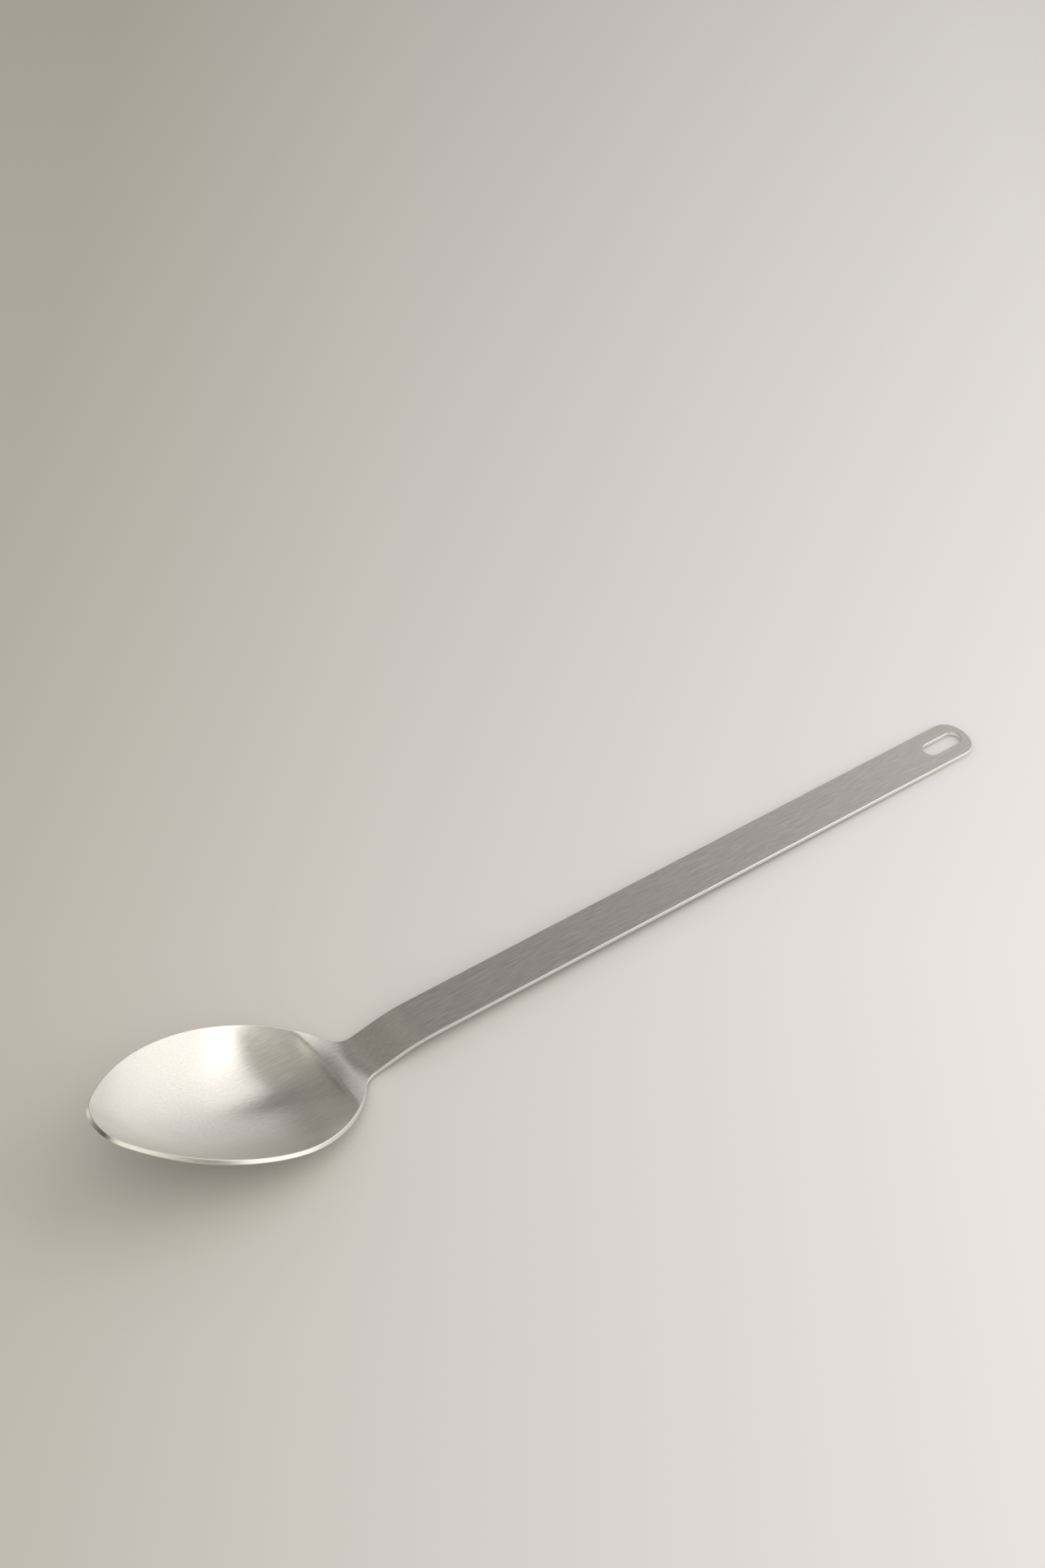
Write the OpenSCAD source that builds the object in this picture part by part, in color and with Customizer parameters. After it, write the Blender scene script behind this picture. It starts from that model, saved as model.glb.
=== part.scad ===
// A serving spoon pressed from one piece of sheet: a dished bowl with its tip up,
// a crease across the heel, a fanned neck and a flat strap with a hanging slot.
// It lies as on a table: +X runs to the handle's end, +Z is up, and the origin is
// on the table, in the middle of the length and of the width.
// Heights are those of the underside, and distances along are from the bowl's tip.

/* [Overall] */
// Length from the bowl's tip to the handle's end
spoon_length = 340; // [290:5:390]
// Thickness of the sheet
sheet = 1.5; // [1:0.1:2]

/* [Bowl outline] */
// Width of the bowl over its rim
bowl_w = 60; // [52:1:68]
// Distance to the widest place
widest_x = 48.8; // [44:0.2:54]
// Radius of the nose
nose_r = 17; // [13:0.5:21]

/* [Bowl depth] */
// Height of the tip
tip_h = 33.4; // [27:0.2:40]
// Distance to the lowest place of the bowl
lowest_x = 61; // [58:0.5:64]
// Distance to the place where the rim's fall eases
rim_ease_x = 58; // [53:0.5:64]
// Height of the rim there
rim_ease_h = 10.2; // [8.5:0.1:12]
// Length of rim over which the fall eases
rim_ease_run = 24; // [16:1:30]

/* [Heel and neck] */
// Distance to the crease across the heel
crease_x = 78; // [74:0.5:80]
// Height of the crease at the middle
crease_h = 1.8; // [1.2:0.1:2.4]
// Length of the rounding over the crease
crease_run = 1.2; // [0.6:0.1:2.4]
// Width of the neck
neck_w = 15.8; // [13:0.2:19]
// Distance to the end of the fillets between bowl and neck
neck_x = 92; // [90:0.5:98]
// Radius of those fillets in plan
neck_fillet_r = 11; // [6:0.5:16]
// Distance to the dip behind the bowl
dip_x = 88.5; // [86:0.5:90]
// Height of the dip's corner
dip_h = 0.9; // [0.4:0.1:1.4]
// Length of the rounding in the dip
dip_run = 11; // [6:0.5:14]

/* [Handle] */
// Distance to the bend from the neck into the strap
bend_x = 105; // [103:0.5:114]
// Height of the bend's corner
bend_h = 4.25; // [3:0.05:6]
// Length of the rounding over the bend
bend_run = 12; // [6:0.5:14]
// Width of the strap at its end
end_w = 16.6; // [14:0.2:20]
// Radius of the strap's end at its two corners
end_corner_r = 6.5; // [5:0.1:6.8]
// Radius of the crown between those corners
end_crown_r = 11.2; // [10:0.1:16]

/* [Hanging slot] */
// Length of the slot over its round ends
slot_l = 15.4; // [10:0.2:24]
// Width of the slot
slot_w = 6; // [5:0.1:9]
// Metal left between the slot and the handle's end
slot_margin = 2.7; // [2:0.1:6]

/* [Hidden] */
steel = [0.78, 0.77, 0.74];
$fn = 96;
overrun = sheet / 2;

// Straightness of the bowl's flanks: none is a plain parabola across
flank_share = 0.15;
// Rows along each stretch of the pressing, and columns across it
nose_rows = 8;
flank_rows = 14;
belly_rows = 4;
heel_rows = 6;
fan_rows = 9;
neck_rows = 3;
bend_rows = 5;
columns = 32;
// Step for reading slopes
probe = sheet / 40;

half_w = bowl_w / 2;
half_neck = neck_w / 2;
half_end = end_w / 2;

// Outline in plan: nose arc, flank arc, shoulder arc, neck fillet, tapering strap
nose_back = widest_x - nose_r;
flank_r = (nose_back * nose_back + half_w * half_w - nose_r * nose_r) / (bowl_w - 2 * nose_r);
flank_y = half_w - flank_r;
nose_end_x = nose_r - nose_r * nose_back / norm([nose_back, flank_y]);
shoulder_l = neck_x - widest_x;
shoulder_drop = half_w - half_neck;
shoulder_r = (shoulder_l * shoulder_l + shoulder_drop * shoulder_drop) / (2 * shoulder_drop) - neck_fillet_r;
shoulder_end_x = widest_x + shoulder_l * shoulder_r / (shoulder_r + neck_fillet_r);

function rise(r, d) = sqrt(max(r * r - d * d, 0));

function half_width(x) =
    x < nose_end_x ? rise(nose_r, nose_r - x) :
    x < widest_x ? flank_y + rise(flank_r, widest_x - x) :
    x < shoulder_end_x ? half_w - shoulder_r + rise(shoulder_r, x - widest_x) :
    x < neck_x ? half_neck + neck_fillet_r - rise(neck_fillet_r, neck_x - x) :
    half_neck + (half_end - half_neck) * (x - neck_x) / (spoon_length - neck_x);

// Height of the rim's lower edge: four straight runs with rounded corners
tip_fall = (rim_ease_h - tip_h) / rim_ease_x;
heel_fall = (dip_h - rim_ease_h) / (dip_x - rim_ease_x);
neck_climb = (bend_h - dip_h) / (bend_x - dip_x);
strap_fall = -bend_h / (spoon_length - bend_x);

function corner(x, at_x, at_h, before, after, run) =
    let (d = x - at_x, in = min(max(d + run / 2, 0), run), past = max(d - run / 2, 0))
    at_h + before * d + (after - before) * (in * in / (2 * run) + past);

function rim_h(x) =
    x < (rim_ease_x + dip_x) / 2 ? corner(x, rim_ease_x, rim_ease_h, tip_fall, heel_fall, rim_ease_run) :
    x < (dip_x + bend_x) / 2 ? corner(x, dip_x, dip_h, heel_fall, neck_climb, dip_run) :
    corner(x, bend_x, bend_h, neck_climb, strap_fall, bend_run);

// Depth of the dish below the rim: an arc from the tip to the lowest place, a heel
// that steepens up to the crease, and a fan that flattens out at the neck
belly_r = (lowest_x * lowest_x + tip_h * tip_h) / (2 * tip_h);
fan_depth = rim_h(crease_x) - crease_h;

function fan_part(x) = max(1 - (x - crease_x) / (neck_x - crease_x), 0);

function heel_part(x) = min(max((x - lowest_x) / (crease_x - lowest_x), 0), 1);

function dish(x) =
    x < lowest_x ? rim_h(x) - belly_r + rise(belly_r, lowest_x - x) :
    x < crease_x ? rim_h(x) - crease_h * pow(heel_part(x), 3) :
    fan_depth * pow(fan_part(x), 2);

// Share of the dish's depth at a share of the half width: round across in the bowl,
// with a flatter floor and upturned edges toward the crease
function across(x, part) =
    let (p = part * part, flat = pow(heel_part(x), 2) * (3 - 2 * heel_part(x)))
    (1 - flat) * (1 + flank_share) * p / (1 + flank_share * p) + flat * p * p;

function under_h(x, part) = rim_h(x) - dish(x) * (1 - across(x, part));

// Slopes of the underside along X and along Y
function slope_y(x, part) =
    let (d = 1 / 64)
    (under_h(x, part + d) - under_h(x, part - d)) / (2 * d * half_width(x));

function slope_x(x, part) =
    (under_h(x + probe, part) - under_h(x - probe, part)
    - slope_y(x, part) * part * (half_width(x + probe) - half_width(x - probe))) / (2 * probe);

// The upper skin lies one sheet above the lower one, square to it
function lift(x, part) =
    let (at = max(x, 4 * probe), g = [-slope_x(at, part), -slope_y(at, part), 1])
    sheet * g / norm(g);

function lower(x, part) = [x, half_width(x) * part, under_h(x, part)];
function upper(x, part) = lower(x, part) + lift(x, part);

function spread(from, to, n) = [for (i = [1:n]) from + (to - from) * i / n];

flat_x = bend_x + bend_run / 2;
pressing_end_x = flat_x + 2 * sheet;
strap_x = flat_x + sheet;
nose_turn = acos(1 - nose_end_x / nose_r);
rows_x = concat(
    [for (i = [1:nose_rows]) nose_r * (1 - cos(nose_turn * i / nose_rows))],
    spread(nose_end_x, widest_x, flank_rows),
    spread(widest_x, lowest_x, belly_rows),
    spread(lowest_x, crease_x - crease_run / 2, heel_rows),
    spread(crease_x + crease_run / 2, neck_x, fan_rows),
    spread(neck_x, bend_x - bend_run / 2, neck_rows),
    spread(bend_x - bend_run / 2, flat_x, bend_rows),
    [pressing_end_x]);
parts = [for (j = [0:columns]) 2 * j / columns - 1];

// The flat strap laps the level end of the pressing and falls to the table
strap_angle = atan(-strap_fall);
strap_l = (spoon_length - strap_x) / cos(strap_angle);
corner_y = half_end - end_corner_r;
crown_x = -end_crown_r;
corner_back = end_crown_r - end_corner_r;
corner_x = crown_x + rise(corner_back, corner_y);
slot_r = slot_w / 2;
slot_run = slot_l - slot_w;
slot_x = -slot_margin - slot_r;

middle_x = (spoon_length + sheet * sin(strap_angle)) / 2;

// Two skins and the cut edge between them, from the tip to just inside the strap
module pressing() {
    n = len(rows_x);
    m = len(parts);
    low = [for (x = rows_x) for (p = parts) lower(x, p)];
    high = [for (x = rows_x) for (p = parts) upper(x, p)];
    tip = [lower(0, 0), upper(0, 0)];
    low_at = 2;
    high_at = low_at + n * m;
    strips = [for (i = [0:n - 2]) for (j = [0:m - 2]) [i * m + j, i * m + j + 1, i * m + m + j + 1, i * m + m + j]];
    skins = [for (q = strips) each [
        [low_at + q[0], low_at + q[2], low_at + q[1]],
        [low_at + q[0], low_at + q[3], low_at + q[2]],
        [high_at + q[0], high_at + q[1], high_at + q[2]],
        [high_at + q[0], high_at + q[2], high_at + q[3]]]];
    nose = [for (j = [0:m - 2]) each [
        [0, low_at + j, low_at + j + 1],
        [1, high_at + j + 1, high_at + j]]];
    edges = [for (i = [0:n - 2]) each [
        [low_at + i * m, high_at + i * m + m, low_at + i * m + m],
        [low_at + i * m, high_at + i * m, high_at + i * m + m],
        [low_at + i * m + m - 1, low_at + i * m + 2 * m - 1, high_at + i * m + 2 * m - 1],
        [low_at + i * m + m - 1, high_at + i * m + 2 * m - 1, high_at + i * m + m - 1]]];
    nose_edges = [
        [0, high_at, low_at], [0, 1, high_at],
        [0, low_at + m - 1, high_at + m - 1], [0, high_at + m - 1, 1]];
    last = (n - 1) * m;
    end = [for (j = [0:m - 2]) each [
        [low_at + last + j, high_at + last + j, high_at + last + j + 1],
        [low_at + last + j, high_at + last + j + 1, low_at + last + j + 1]]];
    polyhedron(points = concat(tip, low, high), faces = concat(skins, nose, edges, nose_edges, end));
}

// Plan of the strap in its own plane, with its end at x = 0
module strap_outline() {
    start_w = half_width(strap_x);
    polygon([[-strap_l, -start_w], [corner_x, -half_end], [corner_x, half_end], [-strap_l, start_w]]);
    polygon([[corner_x, -corner_y], [corner_x, corner_y], [crown_x, 0]]);
    for (side = [-1, 1]) translate([corner_x, side * corner_y]) circle(end_corner_r);
    intersection() {
        translate([crown_x, 0]) circle(end_crown_r);
        polygon([[crown_x, 0], [crown_x, 0] + 2 * [corner_x - crown_x, -corner_y] * end_crown_r / corner_back,
            [crown_x, 0] + 2 * [corner_x - crown_x, corner_y] * end_crown_r / corner_back]);
    }
}

module slot_cut() {
    translate([slot_x, 0, -overrun]) cylinder(h = sheet + 2 * overrun, r = slot_r);
    translate([slot_x - slot_run, 0, -overrun]) cylinder(h = sheet + 2 * overrun, r = slot_r);
    translate([slot_x - slot_run, -slot_r, -overrun]) cube([slot_run, slot_w, sheet + 2 * overrun]);
}

module strap() {
    translate([spoon_length, 0, 0]) rotate([0, strap_angle, 0]) difference() {
        linear_extrude(sheet) strap_outline();
        slot_cut();
    }
}

module spoon() {
    color(steel) translate([-middle_x, 0, 0]) {
        pressing();
        strap();
    }
}

spoon();
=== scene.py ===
"""Serving spoon of brushed steel on a pale floor, in soft light from the right."""

import math

import bpy
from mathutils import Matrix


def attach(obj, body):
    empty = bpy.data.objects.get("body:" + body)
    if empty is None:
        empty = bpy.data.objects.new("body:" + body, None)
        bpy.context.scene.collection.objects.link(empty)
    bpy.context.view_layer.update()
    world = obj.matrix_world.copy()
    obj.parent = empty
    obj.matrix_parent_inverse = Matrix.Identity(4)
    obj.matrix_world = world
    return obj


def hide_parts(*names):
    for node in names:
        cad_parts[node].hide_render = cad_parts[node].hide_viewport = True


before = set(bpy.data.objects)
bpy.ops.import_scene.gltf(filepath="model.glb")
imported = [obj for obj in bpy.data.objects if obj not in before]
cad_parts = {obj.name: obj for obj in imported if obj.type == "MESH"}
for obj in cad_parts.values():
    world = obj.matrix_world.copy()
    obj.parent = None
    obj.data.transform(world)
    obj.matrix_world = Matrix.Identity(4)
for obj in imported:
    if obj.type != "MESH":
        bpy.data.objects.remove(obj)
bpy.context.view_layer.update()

# Sizes of the spoon in millimetres: X is a place along from the bowl's tip, H a height over the floor,
# W a width, R a radius, L a length, and RUN the stretch over which a corner is rounded
LENGTH, SHEET = 340.0, 1.5
BOWL_W, WIDEST_X, NOSE_R = 60.0, 48.4, 16.0
TIP_H, LOWEST_X = 33.2, 63.5
EASE_X, EASE_H, EASE_RUN = 56.5, 10.8, 9.0
CREASE_X, CREASE_H, CREASE_BOW, CREASE_RUN = 79.0, 1.3, 1.5, 1.8
LIP_POWER, LIP_SHARE, FAN_POWER = 9, 0.36, 2.6
NECK_W, NECK_X, FILLET_R = 16.0, 91.5, 9.0
DIP_X, DIP_H, DIP_RUN = 88.0, 0.2, 8.0
BEND_X, BEND_H, BEND_RUN = 106.0, 4.0, 11.0
END_W, CORNER_R, CROWN_R = 16.6, 6.5, 11.2
SLOT_L, SLOT_W, SLOT_MARGIN = 15.4, 6.0, 2.7
EDGE_R = 0.24

# Places along the flat strap where it is divided, back from its end
STRAP_STOPS = (-170.0, -110.0, -60.0, -26.0)

# How finely the rest is divided
NOSE_STEPS, FLANK_STEPS, SPOKE_STEPS, EDGE_STEPS = 16, 32, 18, 4
CORNER_STEPS, CROWN_STEPS, SLOT_STEPS = 14, 8, 16

STRAP_ANGLE = math.atan(BEND_H / (LENGTH - BEND_X))
MIDDLE_X = (LENGTH + SHEET * math.sin(STRAP_ANGLE)) / 2
FLAT_X = BEND_X + BEND_RUN / 2

# Where the camera stands and which way it looks, in the same millimetres
YAW, PITCH = math.radians(36.05), math.radians(43.7)
EYE = (-187.03, -464.53, 631.90)
LENS = 61.875

# Level directions to its right and away from it
RIGHT = (math.cos(YAW), -math.sin(YAW), 0)
AWAY = (math.sin(YAW), math.cos(YAW), 0)


def rise(r, d):
    """Height of an arc of radius r at a distance d from its middle."""
    return math.sqrt(max(r * r - d * d, 0.0))


# Plan outline: nose arc, flank arc, shoulder arc, neck fillet and a strap that widens a little
NOSE_BACK = WIDEST_X - NOSE_R
FLANK_R = (NOSE_BACK ** 2 + (BOWL_W / 2) ** 2 - NOSE_R ** 2) / (BOWL_W - 2 * NOSE_R)
FLANK_Y = BOWL_W / 2 - FLANK_R
NOSE_END_X = NOSE_R - NOSE_R * NOSE_BACK / math.hypot(NOSE_BACK, FLANK_Y)
DROP = (BOWL_W - NECK_W) / 2
SHOULDER_R = ((NECK_X - WIDEST_X) ** 2 + DROP ** 2) / (2 * DROP) - FILLET_R
SHOULDER_END_X = WIDEST_X + (NECK_X - WIDEST_X) * SHOULDER_R / (SHOULDER_R + FILLET_R)


def half_width(x):
    """Half the width of the outline in plan."""
    if x < NOSE_END_X:
        return rise(NOSE_R, NOSE_R - x)
    if x < WIDEST_X:
        return FLANK_Y + rise(FLANK_R, WIDEST_X - x)
    if x < SHOULDER_END_X:
        return BOWL_W / 2 - SHOULDER_R + rise(SHOULDER_R, x - WIDEST_X)
    if x < NECK_X:
        return NECK_W / 2 + FILLET_R - rise(FILLET_R, NECK_X - x)
    return NECK_W / 2 + (END_W - NECK_W) / 2 * (x - NECK_X) / (LENGTH - NECK_X)


def corner(x, at_x, at_h, before, after, run):
    """Height on two slopes that meet at a point, rounded over a run."""
    d = x - at_x
    inside = min(max(d + run / 2, 0.0), run)
    return at_h + before * d + (after - before) * (inside ** 2 / (2 * run) + max(d - run / 2, 0.0))


TIP_FALL = (EASE_H - TIP_H) / EASE_X
HEEL_FALL = (DIP_H - EASE_H) / (DIP_X - EASE_X)
CLIMB = (BEND_H - DIP_H) / (BEND_X - DIP_X)
STRAP_FALL = -BEND_H / (LENGTH - BEND_X)


def rim_h(x):
    """Height of the sheet's underside at the rim and along the strap."""
    if x < (EASE_X + DIP_X) / 2:
        return corner(x, EASE_X, EASE_H, TIP_FALL, HEEL_FALL, EASE_RUN)
    if x < (DIP_X + BEND_X) / 2:
        return corner(x, DIP_X, DIP_H, HEEL_FALL, CLIMB, DIP_RUN)
    return corner(x, BEND_X, BEND_H, CLIMB, STRAP_FALL, BEND_RUN)


BELLY_R = (LOWEST_X ** 2 + TIP_H ** 2) / (2 * TIP_H)
FAN_DEPTH = rim_h(CREASE_X) - CREASE_H


def bow(s):
    """How far a station bends toward the bowl at the rim."""
    return CREASE_BOW * max(1 - ((s - CREASE_X) / (CREASE_X - WIDEST_X)) ** 2, 0.0) ** 2


def pressed(s, part):
    """Point of the underside, with a sharp crease."""
    heel = min(max((s - LOWEST_X) / (CREASE_X - LOWEST_X), 0.0), 1.0)
    if s < LOWEST_X:
        dish = rim_h(s) - BELLY_R + rise(BELLY_R, LOWEST_X - s)
    elif s < CREASE_X:
        dish = rim_h(s) - CREASE_H * ((1 - LIP_SHARE) * heel ** 2 + LIP_SHARE * heel ** LIP_POWER)
    else:
        dish = FAN_DEPTH * max(1 - (s - CREASE_X) / (NECK_X - CREASE_X), 0.0) ** 2
    h = heel ** 1.5
    fanned = h * h * (3 - 2 * h)
    p = abs(part)
    across = (1 - fanned) * p * p + fanned * p ** FAN_POWER
    x = s - bow(s) * p * p
    return (x, half_width(x) * part, rim_h(x) - dish * (1 - across))


def bridged(t, a, b, slope_a, slope_b):
    """Smooth way from a at t = 0 to b at t = 1 that leaves and arrives with the slopes given."""
    early = (2 * t ** 3 - 3 * t ** 2 + 1) * a + (t ** 3 - 2 * t ** 2 + t) * slope_a
    return early + (3 * t ** 2 - 2 * t ** 3) * b + (t ** 3 - t ** 2) * slope_b


def under(s, part):
    """Point of the underside, with the crease rounded over its run."""
    r = CREASE_RUN / 2
    if abs(s - CREASE_X) >= r:
        return pressed(s, part)
    # The slopes to match are taken a hundredth of a millimetre outside the run
    a, b, h = CREASE_X - r, CREASE_X + r, 0.01
    pa, pb = pressed(a, part), pressed(b, part)
    qa, qb = pressed(a - h, part), pressed(b + h, part)
    t, per_run = (s - a) / CREASE_RUN, CREASE_RUN / h
    return tuple(bridged(t, pa[i], pb[i], (pa[i] - qa[i]) * per_run, (qb[i] - pb[i]) * per_run)
                 for i in range(3))


def normal(s, part):
    """Upward normal of the sheet, from points a little along and across."""
    h, d = 0.04, 1 / 64
    # Kept off the very tip, where the outline closes
    s = max(s, 4 * h)
    along = add(under(s + h, part), under(s - h, part), -1)
    over = add(under(s, part + d), under(s, part - d), -1)
    return unit(cross(along, over))


def add(a, b, k=1.0):
    return (a[0] + b[0] * k, a[1] + b[1] * k, a[2] + b[2] * k)


def cross(a, b):
    return (a[1] * b[2] - a[2] * b[1], a[2] * b[0] - a[0] * b[2], a[0] * b[1] - a[1] * b[0])


def unit(a):
    n = math.sqrt(a[0] ** 2 + a[1] ** 2 + a[2] ** 2)
    return (a[0] / n, a[1] / n, a[2] / n)


def mirrored(p, side):
    return (p[0], side * p[1], p[2])


def opposite(n):
    return (-n[0], -n[1], -n[2])


def spread(a, b, n):
    """The n even steps from a to b, without a."""
    return [a + (b - a) * i / n for i in range(1, n + 1)]


# Stations round half the outline: where the edge is along the spoon, and where its spoke starts
turn = math.acos(1 - NOSE_END_X / NOSE_R)
stations = [(NOSE_R * (1 - math.cos(turn * i / NOSE_STEPS)), NOSE_R) for i in range(NOSE_STEPS + 1)]
sweep = math.asin((WIDEST_X - NOSE_END_X) / FLANK_R)
for i in range(1, FLANK_STEPS + 1):
    x = WIDEST_X - FLANK_R * math.sin(sweep * (1 - i / FLANK_STEPS))
    share = (x - NOSE_END_X) / (WIDEST_X - NOSE_END_X)
    stations.append((x, NOSE_R + share * (WIDEST_X - NOSE_R)))

# From the widest place on they run straight across, with this many steps up to each stop
stops = ((LOWEST_X, 10), (CREASE_X - CREASE_RUN / 2, 14), (CREASE_X + CREASE_RUN / 2, 6), (NECK_X, 22),
         (BEND_X - BEND_RUN / 2, 6), (FLAT_X, 14))
last = WIDEST_X
for stop, count in stops:
    stations += [(x, x) for x in spread(last, stop, count)]
    last = stop

# Rings next to the edge, by their distance in from it, and rings further in, by shares of the spoke
INSETS = (0.7, 1.4, 2.6)
SHARES = [i / SPOKE_STEPS for i in range(SPOKE_STEPS)]

# Faces of kind 0 are the broad skins, and those of kind 1 are the cut edge
verts, normals, faces, kinds = [], [], [], []
numbered = {}


def in_frame(p):
    """Point in metres, in the shared frame."""
    return ((p[0] - MIDDLE_X) / 1000, p[1] / 1000, p[2] / 1000)


def vert(p, n):
    """Number of the vertex at a point, added with its normal where it is new."""
    key = (round(p[0], 5), round(p[1], 5), round(p[2], 5))
    if key not in numbered:
        numbered[key] = len(verts)
        verts.append(in_frame(p))
        normals.append(unit(n))
    return numbered[key]


def face(points, kind=0):
    """Face through points, unless they close up to a line."""
    ring = []
    for p, n in points:
        i = vert(p, n)
        if i not in ring:
            ring.append(i)
    if len(ring) > 2:
        faces.append(ring)
        kinds.append(kind)


def spoke(station, side):
    """Lower and upper skin points along a spoke, from the middle out to the last ring before the edge."""
    s, middle = station
    length = math.hypot(s - middle, half_width(s - bow(s)))
    shares = [k * (1 - INSETS[-1] / length) / SHARES[-1] for k in SHARES[:-1]]
    shares += [1 - d / length for d in reversed(INSETS)]
    low, high = [], []
    for k in shares:
        at = middle + (s - middle) * k
        part = k if s == middle else half_width(s) * k / half_width(at)
        p = mirrored(under(at, part), side)
        n = mirrored(normal(at, part), side)
        low.append((p, opposite(n)))
        high.append((add(p, n, SHEET), n))
    return low, high


def edge_points(o, out, n):
    """Cut edge across the sheet: rounded corners and a straight face, from the lower skin to the upper."""
    points = []
    for level, height in ((-1, 0.0), (1, SHEET)):
        for i in range(EDGE_STEPS + 1)[::-level]:
            a = math.pi / 2 * i / EDGE_STEPS
            sine, cosine = math.sin(a), math.cos(a)
            p = add(add(o, out, EDGE_R * (sine - 1)), n, height - level * EDGE_R * (1 - cosine))
            m = add((out[0] * sine, out[1] * sine, out[2] * sine), n, level * cosine)
            points.append((p, m))
    return points


def outline_frame(s, side):
    """Edge point on the underside, its outward direction in the sheet, and the sheet's normal."""
    # Shorter steps near the tip, where the outline turns fast
    h = 0.004 if s < 1 else 0.02
    o = under(s, 1.0)
    n = normal(s, 1.0)
    at_tip = s < 1e-6
    if at_tip:
        out = unit(cross(n, (0.0, 1.0, 0.0)))
        out = out if out[0] < 0 else opposite(out)
    else:
        along = unit(add(under(s + h, 1.0), under(max(s - h, 0.0), 1.0), -1))
        out = unit(cross(n, along))
    return mirrored(o, side), mirrored(out, side), mirrored(n, side)


def flat_point(u, v, b=0.0):
    """Point over the strap's plane: along it from the end, across it, and up from its underside."""
    c, s = math.cos(STRAP_ANGLE), math.sin(STRAP_ANGLE)
    return (LENGTH + u * c + b * s, v, -u * s + b * c)


def edge_band(loop, turn_over):
    """Faces of the cut edge between one edge point and the next."""
    for ea, eb in zip(loop, loop[1:]):
        for k in range(len(ea) - 1):
            band = [ea[k], ea[k + 1], eb[k + 1], eb[k]]
            face(band[::turn_over], 1)


# The pressing, half by half
for side in (1, -1):
    rows = []
    for station in stations:
        low, high = spoke(station, side)
        rows.append((low, high, edge_points(*outline_frame(station[0], side))))
    for (la, ha, ea), (lb, hb, eb) in zip(rows, rows[1:]):
        low_a, low_b = la + ea[:1], lb + eb[:1]
        high_a, high_b = ha + ea[-1:], hb + eb[-1:]
        for k in range(len(low_a) - 1):
            lower = [low_a[k], low_a[k + 1], low_b[k + 1], low_b[k]]
            upper = [high_a[k], high_b[k], high_b[k + 1], high_a[k + 1]]
            face(lower[::side])
            face(upper[::side])
        edge_band((ea, eb), side)


def arc(u, v, radius, first, last, count, way=1):
    """Points of an arc in the strap's plane, each with its direction out of the metal."""
    points = []
    for i in range(count + 1):
        a = first + (last - first) * i / count
        c, s = math.cos(a), math.sin(a)
        points.append((u + radius * c, v + radius * s, way * c, way * s))
    return points


# The flat strap: outline from the pressing round the end, in the strap's own plane
half_end = END_W / 2
start_u = -(LENGTH - FLAT_X) / math.cos(STRAP_ANGLE)
corner_v = half_end - CORNER_R
crown_u = -CROWN_R
corner_u = crown_u + rise(CROWN_R - CORNER_R, corner_v)
slope = (half_end - half_width(FLAT_X)) / (corner_u - start_u)
tilt = math.atan(slope)
ring = []
for u in (start_u,) + STRAP_STOPS:
    v = half_width(FLAT_X) + slope * (u - start_u)
    ring.append((u, v, -math.sin(tilt), math.cos(tilt)))
straight = len(ring)
open_a = math.atan2(corner_v, corner_u - crown_u)
ring += arc(corner_u, corner_v, CORNER_R, math.pi / 2, open_a, CORNER_STEPS)
ring += arc(crown_u, 0.0, CROWN_R, open_a, 0.0, CROWN_STEPS)[1:]
slot_r = SLOT_W / 2
slot_a, slot_b = -SLOT_MARGIN - SLOT_L + slot_r, -SLOT_MARGIN - slot_r
hole = arc(slot_a, 0.0, slot_r, math.pi, math.pi / 2, SLOT_STEPS, -1)
hole += arc(slot_b, 0.0, slot_r, math.pi / 2, 0.0, SLOT_STEPS, -1)
STRAP_N = (math.sin(STRAP_ANGLE), 0.0, math.cos(STRAP_ANGLE))


def flat_edge(item, side):
    """Cut edge at a point of the strap's outline."""
    u, v, ou, ov = item
    out = (ou * math.cos(STRAP_ANGLE), side * ov, -ou * math.sin(STRAP_ANGLE))
    return edge_points(flat_point(u, side * v), out, STRAP_N)


for side in (1, -1):
    outer = [flat_edge(item, side) for item in ring]
    outer[0] = edge_points(*outline_frame(FLAT_X, side))
    inner = [flat_edge(item, side) for item in hole]
    edge_band(outer, side)
    edge_band(inner, -side)
    # Faces of the strap on either side of its middle line, up to the slot and round it
    low_row, high_row = spoke(stations[-1], side)
    for level, row, height, n, flip in ((0, low_row, 0.0, opposite(STRAP_N), side),
                                        (-1, high_row, SHEET, STRAP_N, -side)):
        cuts = [(flat_point(item[0], 0.0, height), n) for item in ring[:straight]]
        face((row + [outer[0][level], outer[1][level], cuts[1]])[::flip])
        for i in range(1, straight - 1):
            face([cuts[i], outer[i][level], outer[i + 1][level], cuts[i + 1]][::flip])
        loop = [cuts[-1]] + [e[level] for e in outer[straight - 1:]]
        loop += [e[level] for e in reversed(inner)]
        face(loop[::flip])

mesh = bpy.data.meshes.new("spoon_steel")
mesh.from_pydata(verts, [], faces)
layer = mesh.uv_layers.new(name="along")
UV_PER_METRE = 10
for loop in mesh.loops:
    co = mesh.vertices[loop.vertex_index].co
    layer.data[loop.index].uv = (co.x * UV_PER_METRE, co.y * UV_PER_METRE)
for polygon, kind in zip(mesh.polygons, kinds):
    polygon.material_index = kind
    polygon.use_smooth = True
mesh.normals_split_custom_set_from_vertices(normals)
spoon = bpy.data.objects.new("spoon_steel", mesh)
bpy.context.scene.collection.objects.link(spoon)


def material(name):
    mat = bpy.data.materials.new(name)
    mat.use_nodes = True
    tree = mat.node_tree
    return mat, tree, tree.nodes["Principled BSDF"]


def feed(tree, socket, value):
    """Set an input to a number, a vector or the output of another node."""
    if isinstance(value, bpy.types.NodeSocket):
        tree.links.new(value, socket)
    else:
        socket.default_value = value


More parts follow.
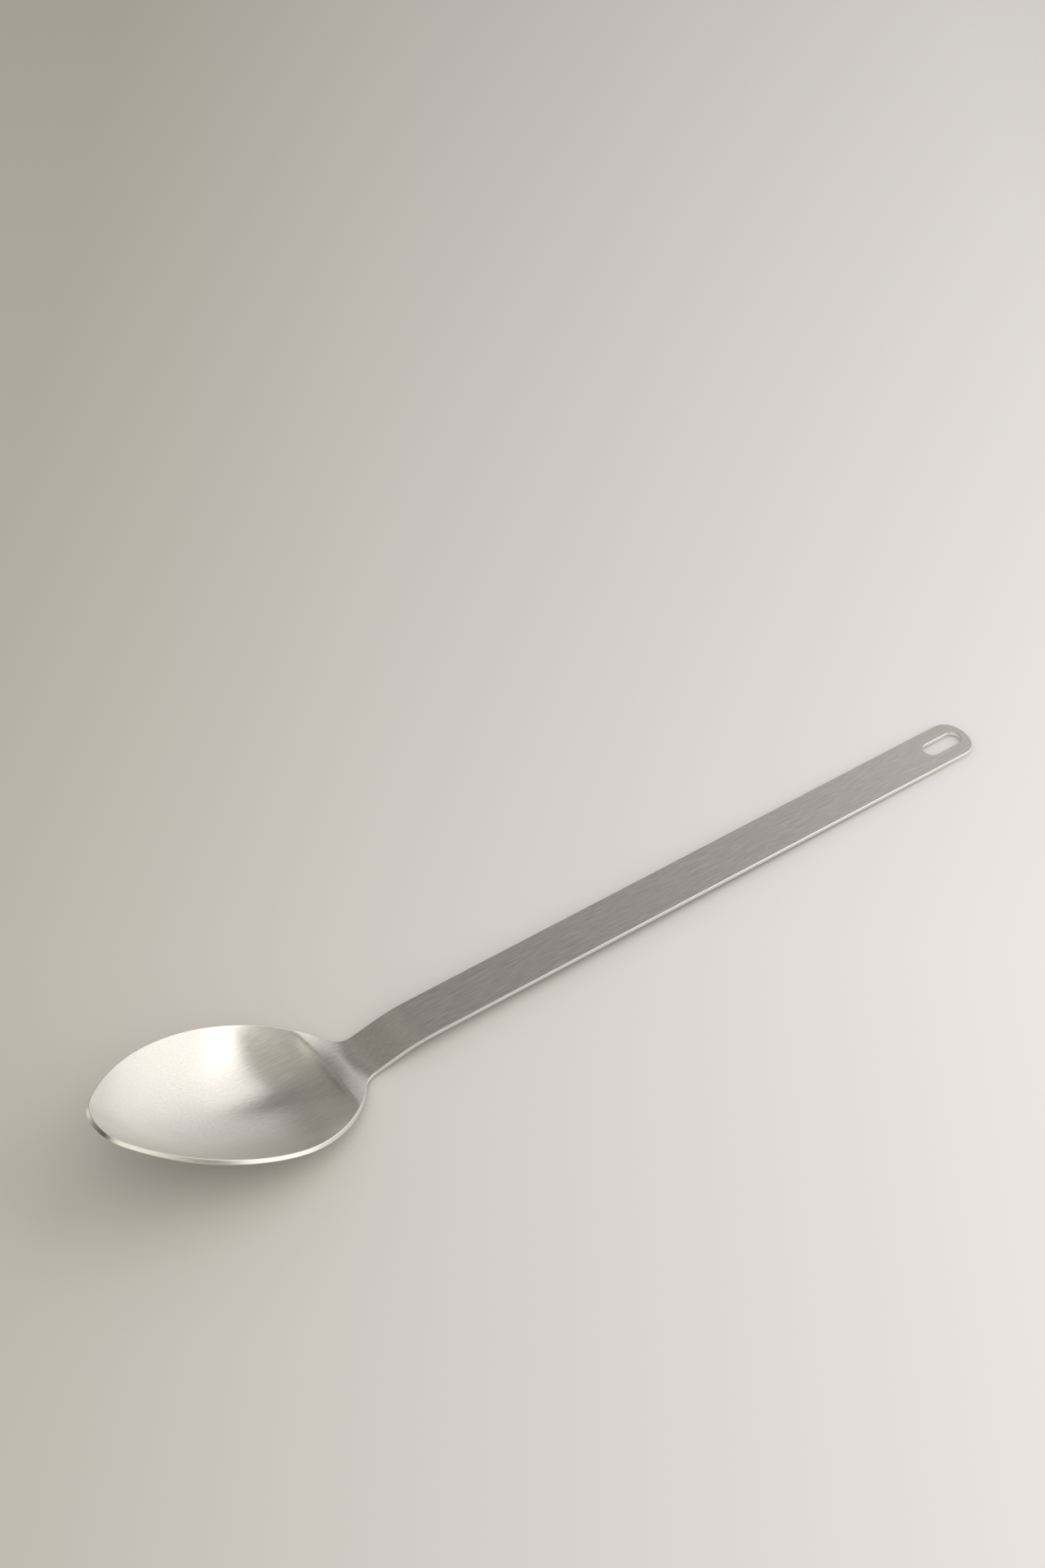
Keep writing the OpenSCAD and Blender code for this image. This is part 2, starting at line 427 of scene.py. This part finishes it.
def maths(tree, kind, a, b=0.0):
    node = tree.nodes.new("ShaderNodeMath")
    node.operation = kind
    feed(tree, node.inputs[0], a)
    feed(tree, node.inputs[1], b)
    return node.outputs["Value"]


def product(tree, *values):
    whole = values[0]
    for value in values[1:]:
        whole = maths(tree, "MULTIPLY", whole, value)
    return whole


def dot(tree, place, vector):
    """How far a place or direction goes along a vector."""
    node = tree.nodes.new("ShaderNodeVectorMath")
    node.operation = "DOT_PRODUCT"
    feed(tree, node.inputs[0], place)
    feed(tree, node.inputs[1], vector)
    return node.outputs["Value"]


def scaled(tree, colour, strength):
    node = tree.nodes.new("ShaderNodeVectorMath")
    node.operation = "SCALE"
    feed(tree, node.inputs[0], colour)
    feed(tree, node.inputs["Scale"], strength)
    return node.outputs["Vector"]


def ranged(tree, value, low, high, to_low=0.0, to_high=1.0, kind="LINEAR"):
    """Number that goes from to_low to to_high while another goes from low to high."""
    node = tree.nodes.new("ShaderNodeMapRange")
    node.interpolation_type = kind
    feed(tree, node.inputs["Value"], value)
    for name, number in (("From Min", low), ("From Max", high), ("To Min", to_low), ("To Max", to_high)):
        feed(tree, node.inputs[name], number)
    return node.outputs["Result"]


def toned(tree, value, low, high, dark, pale):
    """Colour that goes from dark to pale while a number goes from low to high."""
    node = tree.nodes.new("ShaderNodeValToRGB")
    for stop, position, colour in zip(node.color_ramp.elements, (low, high), (dark, pale)):
        stop.position = position
        stop.color = colour
    feed(tree, node.inputs["Fac"], value)
    return node.outputs["Color"]


def streaks(tree, scale, stretch):
    """Noise drawn out along the spoon's length."""
    where = tree.nodes.new("ShaderNodeTexCoord")
    place = tree.nodes.new("ShaderNodeMapping")
    feed(tree, place.inputs["Scale"], (scale / stretch, scale, scale))
    feed(tree, place.inputs["Vector"], where.outputs["Object"])
    noise = tree.nodes.new("ShaderNodeTexNoise")
    for name, number in (("Scale", 1.0), ("Detail", 2.0), ("Roughness", 0.6)):
        feed(tree, noise.inputs[name], number)
    feed(tree, noise.inputs["Vector"], place.outputs["Vector"])
    return noise.outputs[0]


# Brushed skins: shine drawn out across the brushing, with streaks in tone, gloss and height
steel, tree, shader = material("brushed_steel")
feed(tree, shader.inputs["Metallic"], 1.0)
feed(tree, shader.inputs["Anisotropic"], 0.5)
feed(tree, shader.inputs["Anisotropic Rotation"], 0.25)
tangent = tree.nodes.new("ShaderNodeTangent")
tangent.direction_type = "UV_MAP"
tangent.uv_map = "along"
feed(tree, shader.inputs["Tangent"], tangent.outputs["Tangent"])
fine = streaks(tree, 7000.0, 60.0)
broad = streaks(tree, 3300.0, 22.0)
tone = toned(tree, broad, 0.3, 0.7, (0.71, 0.69, 0.655, 1), (0.815, 0.795, 0.76, 1))
feed(tree, shader.inputs["Base Color"], tone)
feed(tree, shader.inputs["Roughness"], ranged(tree, broad, 0.3, 0.7, 0.24, 0.27))
bump = tree.nodes.new("ShaderNodeBump")
feed(tree, bump.inputs["Strength"], 0.05)
feed(tree, bump.inputs["Distance"], 0.00005)
feed(tree, bump.inputs["Height"], fine)
feed(tree, shader.inputs["Normal"], bump.outputs["Normal"])

# Cut edge: smoother and a little paler
cut, tree, shader = material("cut_edge")
feed(tree, shader.inputs["Metallic"], 1.0)
grain = streaks(tree, 2600.0, 8.0)
tone = toned(tree, grain, 0.0, 1.0, (0.72, 0.70, 0.67, 1), (0.84, 0.82, 0.79, 1))
feed(tree, shader.inputs["Base Color"], tone)
feed(tree, shader.inputs["Roughness"], ranged(tree, grain, 0.3, 0.7, 0.16, 0.24))

mesh.materials.append(steel)
mesh.materials.append(cut)
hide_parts("spoon")
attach(spoon, "root")

# Floor, in metres, a hair below the spoon so that they never share a plane
FLOOR_HALF, FLOOR_H = 6, -0.00002
corners = [(x * FLOOR_HALF, y * FLOOR_HALF, FLOOR_H) for x, y in ((-1, -1), (1, -1), (1, 1), (-1, 1))]
floor_mesh = bpy.data.meshes.new("floor")
floor_mesh.from_pydata(corners, [], [(0, 1, 2, 3)])
floor = bpy.data.objects.new("floor", floor_mesh)
bpy.context.scene.collection.objects.link(floor)
# The floor's own colour, with painted shade and painted light laid on it below
floor_material, tree, shader = material("floor_with_painted_light")
feed(tree, shader.inputs["Roughness"], 0.8)
feed(tree, shader.inputs["Specular IOR Level"], 0.2)
place = tree.nodes.new("ShaderNodeTexCoord")
to_right, to_back = dot(tree, place.outputs["Object"], RIGHT), dot(tree, place.outputs["Object"], AWAY)

# Painted light and shade on the floor: its colour painted duller toward the back, and a painted glow paler
# toward the right for the eye and more so in the steel's shine
level = ranged(tree, to_back, 0.0, 0.95, 1.0, 0.69)
feed(tree, shader.inputs["Base Color"], scaled(tree, (0.635, 0.615, 0.56), level))
rays = tree.nodes.new("ShaderNodeLightPath")
pale = product(tree, level, level, ranged(tree, to_right, -0.21, 0.20, 0.03, 0.44))
seen = product(tree, pale, rays.outputs["Is Camera Ray"])
shine = product(tree, ranged(tree, to_right, -0.2, 0.15, 0.1, 0.62), rays.outputs["Is Glossy Ray"])

# Less of it close to the spoon, which shades the floor there
shade = tree.nodes.new("ShaderNodeAmbientOcclusion")
feed(tree, shade.inputs["Distance"], 0.05)
glow = product(tree, maths(tree, "ADD", seen, shine), shade.outputs["AO"])
feed(tree, shader.inputs["Emission Color"], (1.0, 0.99, 1.07, 1))
feed(tree, shader.inputs["Emission Strength"], glow)
floor_mesh.materials.append(floor_material)

# Soft light all round, brightest low on the right
world = bpy.data.worlds.new("studio")
bpy.context.scene.world = world
world.use_nodes = True
sky = world.node_tree
where = sky.nodes.new("ShaderNodeTexCoord")


def facing(right, away, up):
    """How closely a direction agrees with one given as shares of right, away and up."""
    vector = (RIGHT[0] * right + AWAY[0] * away, RIGHT[1] * right + AWAY[1] * away, up)
    return dot(sky, where.outputs["Generated"], vector)


def step(value, low, high, to_low=0.0, to_high=1.0):
    """Number that goes softly from to_low to to_high while another goes from low to high."""
    return ranged(sky, value, low, high, to_low, to_high, "SMOOTHSTEP")


def spot(az, el, width):
    """Soft round patch centred at an azimuth to the right of straight away and an elevation."""
    az, el = math.radians(az), math.radians(el)
    near = facing(math.cos(el) * math.sin(az), math.cos(el) * math.cos(az), math.sin(el))
    return maths(sky, "EXPONENT", maths(sky, "DIVIDE", maths(sky, "SUBTRACT", near, 1.0), width ** 2))


def lit(base, shape, gain):
    """Light of a base, with a gain where the shape is."""
    return maths(sky, "ADD", base, product(sky, shape, gain))


def laid_over(below, colour, strength, share):
    """Light of one colour where its share is full, and what lies below it elsewhere."""
    mix = sky.nodes.new("ShaderNodeMix")
    mix.data_type = "RGBA"
    feed(sky, mix.inputs["Factor"], share)
    # Inputs 6 and 7 are the node's two colours, and output 2 is the mixed one
    feed(sky, mix.inputs[6], below)
    feed(sky, mix.inputs[7], scaled(sky, colour, strength))
    return mix.outputs[2]


# Both in degrees, the azimuth from straight away to the right
azimuth = product(sky, maths(sky, "ARCTAN2", facing(1, 0, 0), facing(0, 1, 0)), math.degrees(1))
elevation = product(sky, maths(sky, "ARCSINE", facing(0, 0, 1)), math.degrees(1))

# A broad window on the right, cut off at its top, its slanted left side, its foot and behind the camera
under_top = step(facing(0.64, 0.72, -0.55), -0.09, -0.035)
past_left = step(maths(sky, "ADD", azimuth, product(sky, elevation, 0.87)), 47, 73)
before_back = step(azimuth, 113, 122, 1.0, 0.0)
over_foot = step(elevation, 5, 19)
window = product(sky, under_top, past_left, before_back, over_foot)
window_glow = step(azimuth, 50, 101, 1.19, 2.3)

# A duller pale band over its lower part, from straight away round to the right
below_band_top = step(elevation, 35, 43, 1.0, 0.0)
band = product(sky, step(azimuth, -15, -3), before_back, below_band_top)
band_glow = step(azimuth, -10, 95, 0.62, 1.38)

# Dim room, darkest on the far left, with soft light overhead and high behind
room = lit(0.304, spot(-64, 53, 0.296), -0.4)
room = lit(room, spot(3, 49, 0.11), -0.25)
room = lit(room, step(elevation, 82, 100), 0.37)
room = lit(room, step(azimuth, -5, 30), step(azimuth, 100, 140, -0.19, 0.0))
room = lit(room, spot(-125, 42, 0.25), -0.7)
room = lit(room, spot(131, 41, 0.12), -0.2)
room = lit(room, spot(-58, 8, 0.25), 0.6)
room = lit(room, spot(-166, 66, 0.458), 1.06)
room_glow = maths(sky, "MAXIMUM", room, 0.03)

DAYLIGHT = (1.0, 0.975, 0.94)
light = scaled(sky, (1.0, 0.945, 0.855), room_glow)
light = laid_over(light, DAYLIGHT, window_glow, window)
light = laid_over(light, DAYLIGHT, band_glow, band)
feed(sky, sky.nodes["Background"].inputs["Color"], light)

# Camera
cam = bpy.data.cameras.new("camera")
cam.lens = LENS
cam.sensor_width = 36
cam.clip_start = 0.01
eye = bpy.data.objects.new("camera", cam)
eye.location = in_frame(EYE)
eye.rotation_euler = (math.pi / 2 - PITCH, 0, -YAW)
bpy.context.scene.collection.objects.link(eye)
bpy.context.scene.camera = eye
bpy.context.scene.view_settings.view_transform = "Standard"
